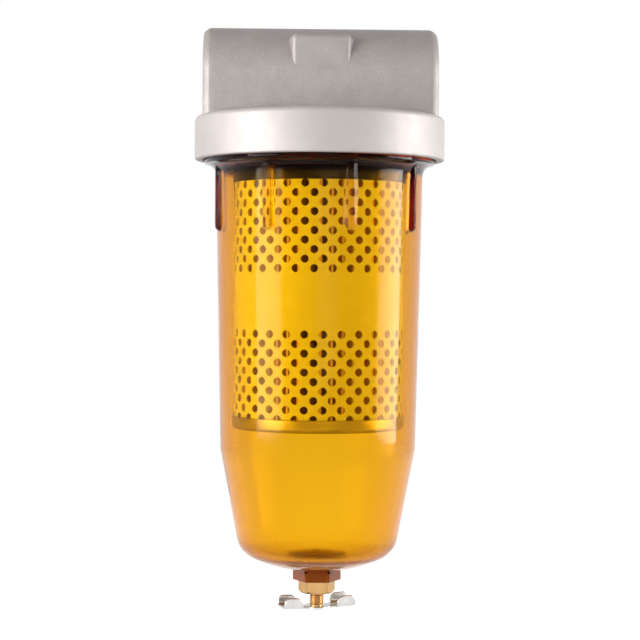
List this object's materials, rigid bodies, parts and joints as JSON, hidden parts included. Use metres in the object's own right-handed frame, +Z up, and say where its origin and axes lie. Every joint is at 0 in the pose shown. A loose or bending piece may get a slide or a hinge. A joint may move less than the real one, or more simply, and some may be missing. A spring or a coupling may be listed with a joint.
{
  "type": "fuel filter",
  "caption": "In-line fuel filter: cast aluminium head with opposed pipe ports, amber see-through screw-on bowl, spin-on perforated pleated element and a winged drain cock.",
  "frame": {"origin": "centre of the inlet port's mouth, on the axis that the two ports share", "axes": "+X runs from the inlet port to the outlet port, +Z is up, and the bowl hangs along -Z below the middle of the barrel; the front that the picture shows looks along +Y"},
  "size_m": [0.11, 0.11, 0.2564],
  "materials": {
    "cast_aluminium": "satin",
    "amber_plastic": "gloss",
    "black_rubber": "matte",
    "brass": "satin",
    "zinc_steel": "satin",
    "yellow_tube": "satin",
    "top_cap_steel": "satin",
    "bottom_cap_steel": "satin",
    "filter_paper": "matte",
    "potting_resin": "matte"
  },
  "bodies": {
    "head": {"filter_head": "cast_aluminium", "element_nipple": "zinc_steel"},
    "bowl_seal": {"bowl_gasket": "black_rubber"},
    "bowl": {"bowl": "amber_plastic", "drain_body": "brass"},
    "element_seal": {"element_gasket": "black_rubber"},
    "element": {"element_top_cap": "top_cap_steel", "element_thread_bush": "zinc_steel", "element_outer_tube": "yellow_tube", "pleated_media": "filter_paper", "element_core_tube": "zinc_steel", "element_bottom_cap": "bottom_cap_steel", "top_potting": "potting_resin", "bottom_potting": "potting_resin"},
    "drain_seal": {"stem_seal": "black_rubber"},
    "drain_valve": {"drain_stem": "brass", "wing_handle": "zinc_steel"}
  },
  "joints": [
    {"name": "bowl_drop", "type": "slide", "parent": "head", "child": "bowl_seal", "axis": [0, 0, -1], "range_m": [0, 0.012]},
    {"name": "bowl_unscrew", "type": "hinge", "parent": "bowl_seal", "child": "bowl", "pos_m": [0.051, 0, -0.03], "axis": [0, 0, -1], "range_deg": [0, 1080]},
    {"name": "element_drop", "type": "slide", "parent": "head", "child": "element_seal", "axis": [0, 0, -1], "range_m": [0, 0.00953]},
    {"name": "element_unscrew", "type": "hinge", "parent": "element_seal", "child": "element", "pos_m": [0.051, 0, -0.04], "axis": [0, 0, -1], "range_deg": [0, 2160]},
    {"name": "drain_drop", "type": "slide", "parent": "bowl", "child": "drain_seal", "axis": [0, 0, -1], "range_m": [0, 0.00318]},
    {"name": "drain_turn", "type": "hinge", "parent": "drain_seal", "child": "drain_valve", "pos_m": [0.051, 0, -0.22], "axis": [0, 0, -1], "range_deg": [0, 1080]}
  ],
  "couplings": [
    {"joint": "bowl_drop", "follows": "bowl_unscrew", "m_per_rad": 0.00063662},
    {"joint": "element_drop", "follows": "element_unscrew", "m_per_rad": 0.00025266},
    {"joint": "drain_drop", "follows": "drain_turn", "m_per_rad": 0.0001687}
  ]
}
